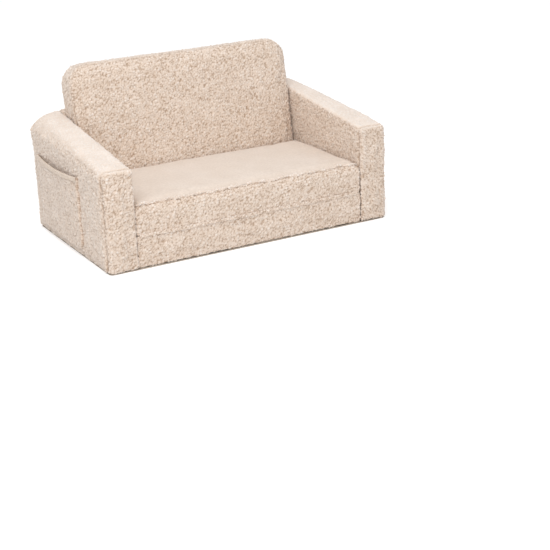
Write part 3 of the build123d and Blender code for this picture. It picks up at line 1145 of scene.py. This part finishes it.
# %% Binding
binding_low, binding_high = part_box("pocket_binding")
binding_mid = (binding_low + binding_high) / 2
binding_length = binding_high.y - binding_low.y
binding_rise = 1.2 * MM
binding_drop = 9.5 * MM
binding_cloth = 0.9 * MM

binding = add_grid("pocket_binding_cover", columns=120, rows=20)
across, path, flat = points(binding).T
fold_round = (binding_high.x - binding_low.x) / 2
path = path * (binding_drop + math.pi / 2 * fold_round)
over = np.clip(path / fold_round, -math.pi / 2, math.pi / 2)
down = np.maximum(np.abs(path) - math.pi / 2 * fold_round, 0)
y = binding_mid.y + across * binding_length / 2
x = binding_mid.x + fold_round * np.sin(over) - gape(y)
z = mouth_height(y) + binding_rise - fold_round * (1 - np.cos(over)) - down
move_points(binding, np.column_stack((x, y, z)))
if sum(face.normal.z for face in binding.data.polygons) < 0:
    turn_inside_out(binding)
apply(binding, "SOLIDIFY", thickness=binding_cloth, offset=-1)
dress(binding, binding_tape, "shell", ["pocket_binding"])

# %% Stitches along the binding
stitch_length = 3.0 * MM
stitch_step = 4.6 * MM
stitch_drop = 7 * MM
first_stitch = (binding_low.x - 0.1 * MM, binding_low.y + 4 * MM, 0)

turn = (math.pi / 2, 0, 0)
stitches = add_rod("binding_stitches", 0.45 * MM, stitch_length, first_stitch, 8, turn)
round_edges(stitches, lambda m, a: not mostly(a, 1), radius=0.25 * MM, segments=2)
repeat(stitches, int((binding_length - 6 * MM) / stitch_step), (0, stitch_step, 0))
co = points(stitches)
co[:, 0] -= gape(co[:, 1]) * 0.93
co[:, 2] += mouth_height(co[:, 1]) - stitch_drop
move_points(stitches, co)
dress(stitches, stitch_thread, "shell", [])

# %% [markdown]
# ## Zip coil
# The zip's chain is a coil of small plastic loops. One tooth is blocked out, bevelled and copied
# along the tape, and a second row is shifted by half a step, as in a closed zip.

# %% Zip teeth
chain_low, chain_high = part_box("zip_chain")
chain_z = (chain_low.z + chain_high.z) / 2
tooth_step = 2.4 * MM
tooth_width = 1.15 * MM
tooth_half = 1.25 * MM
row_offset = 0.35 * MM  # how far each row is off the middle
core_half = 0.7 * MM


def tooth_row(name, shift, middle):
    """A row of teeth about one height, shifted along the tape."""
    start = chain_low.x + shift
    low = (start, chain_low.y, middle - tooth_half)
    tooth = add_block(name, low, (start + tooth_width, chain_high.y, middle + tooth_half))
    round_edges(tooth, lambda m, a: m.y > chain_low.y + 0.5 * MM, radius=0.4 * MM, segments=2)
    repeat(tooth, int((chain_high.x - start - 1.2 * MM) / tooth_step), (tooth_step, 0, 0))
    return tooth


rows = [
    tooth_row("zip_teeth_0", 0.0, chain_z - row_offset),
    tooth_row("zip_teeth_1", tooth_step / 2, chain_z + row_offset),
]
coil = add_block(
    "zip_teeth_core",
    (chain_low.x, chain_low.y, chain_z - core_half),
    (chain_high.x, chain_high.y - core_half, chain_z + core_half),
)
round_edges(coil, lambda m, a: mostly(a, 0), radius=0.3 * MM, segments=2)
only(coil)
for row in rows:
    row.select_set(True)
bpy.ops.object.join()
coil.name = "zip_coil"
dress(coil, zip_plastic, "shell", ["zip_chain"])

# %% [markdown]
# ## Underside cloth
# The shell stands on a plain non-slip cloth. It is a thin plate with rounded corners and a soft
# edge.

# %% Underside
underside = add_block("underside_cloth", under_low, under_high)
round_edges(underside, lambda m, a: mostly(a, 2), radius=12 * MM, segments=8)
round_edges(underside, lambda m, a: not mostly(a, 2), radius=0.6 * MM, segments=2)
dress(underside, grip_cloth, "shell", ["base_cloth"])
only(underside)
bpy.ops.object.shade_smooth_by_angle(angle=math.radians(35))

# %% [markdown]
# ## Carried-over nodes
# Only the zip's tape, end stops, slider and pull keep their CAD shape, which is already right. They
# get a finish of their own; every other node has a cover that stands for it.

# %% Finishes for the CAD nodes
cad_finishes = {
    "zip_tape": zip_cloth,
    "zip_end_stops": zip_metal,
    "zip_slider": zip_metal,
    "zip_pull": zip_metal,
}
for name, material in cad_finishes.items():
    materials = frame["nodes"][name].data.materials
    materials.clear()
    materials.append(material)
print("CAD nodes dressed", sorted(cad_finishes))

# %% [markdown]
# ## Stage, light and camera
# The photograph is a plain studio shot on white, seen from the front left and a little above. The
# floor is white, and a little glow that only the camera sees hides its edge but keeps the soft
# shadow.

# %% Floor
select_nothing()
bpy.ops.mesh.primitive_circle_add(vertices=64, radius=60, fill_type="NGON", location=(0, 0, 0))
floor = bpy.context.object
floor.name = "floor"
white, tree, shader, place = finish("studio_floor", 0.9)
shader.inputs["Base Color"].default_value = (0.86, 0.86, 0.86, 1)
shader.inputs["Specular IOR Level"].default_value = 0.1
light_path = tree.nodes.new("ShaderNodeLightPath")
seen = tree.nodes.new("ShaderNodeMath")
seen.operation = "MAXIMUM"
for socket, ray in zip(seen.inputs, ("Is Camera Ray", "Is Glossy Ray")):
    tree.links.new(light_path.outputs[ray], socket)
glow = tree.nodes.new("ShaderNodeMath")
glow.operation = "MULTIPLY"
glow.inputs[1].default_value = 0.36
tree.links.new(seen.outputs[0], glow.inputs[0])
shader.inputs["Emission Color"].default_value = (1, 1, 1, 1)
tree.links.new(glow.outputs[0], shader.inputs["Emission Strength"])
floor.data.materials.append(white)
print("stage", floor.name)

# %% World
world = bpy.data.worlds.new("studio")
bpy.context.scene.world = world
world.use_nodes = True
sky = world.node_tree
sky.nodes["Background"].inputs["Color"].default_value = (1, 1, 1, 1)
paths = sky.nodes.new("ShaderNodeLightPath")
level = sky.nodes.new("ShaderNodeMapRange")
level.inputs["To Min"].default_value = 0.72  # the light on the object
level.inputs["To Max"].default_value = 1.0  # the white that the camera sees
sky.links.new(paths.outputs["Is Camera Ray"], level.inputs["Value"])
sky.links.new(level.outputs["Result"], sky.nodes["Background"].inputs["Strength"])
print("world", world.name)


# %% Lamps
def soft_light(name, place, target, size, power):
    """A square area lamp that points at a target."""
    select_nothing()
    bpy.ops.object.light_add(type="AREA", location=place)
    lamp = bpy.context.object
    lamp.name = name
    lamp.data.size = size
    lamp.data.energy = power
    lamp.rotation_euler = (Vector(place) - Vector(target)).to_track_quat("Z", "Y").to_euler()


soft_light("key", place=(-1.5, -1.8, 2.8), target=(0, 0, 0.2), size=1.8, power=44)
soft_light("top", place=(0.1, 0.3, 2.6), target=(0, 0, 0.2), size=2.4, power=9)
soft_light("fill", place=(-0.7, -3.1, 1.0), target=(0.1, 0, 0.2), size=2.2, power=12)
print("lamps", [lamp.name for lamp in bpy.data.lights])

# %% Camera
azimuth, elevation, roll_angle = (math.radians(v) for v in (-28.504, 20.184, -2.24))
level_way = Vector((math.sin(azimuth), -math.cos(azimuth), 0))
back_way = level_way * math.cos(elevation) + Vector((0, 0, math.sin(elevation)))
right_way = Vector((math.cos(azimuth), math.sin(azimuth), 0))
up_way = back_way.cross(right_way)
tilted_right = math.cos(roll_angle) * right_way + math.sin(roll_angle) * up_way
tilted_up = -math.sin(roll_angle) * right_way + math.cos(roll_angle) * up_way

camera_data = bpy.data.cameras.new("camera")
camera_data.lens = 87.53
camera_data.sensor_width = 36
camera_data.clip_end = 200
camera = bpy.data.objects.new("camera", camera_data)
bpy.context.collection.objects.link(camera)
pose = Matrix((tilted_right, tilted_up, back_way)).transposed().to_4x4()
pose.translation = Vector((-1.5252, -3.1719, 1.1267))
camera.matrix_world = pose
bpy.context.scene.camera = camera
bpy.context.scene.view_settings.view_transform = "Standard"
print("camera at", [round(v, 3) for v in camera.matrix_world.translation])
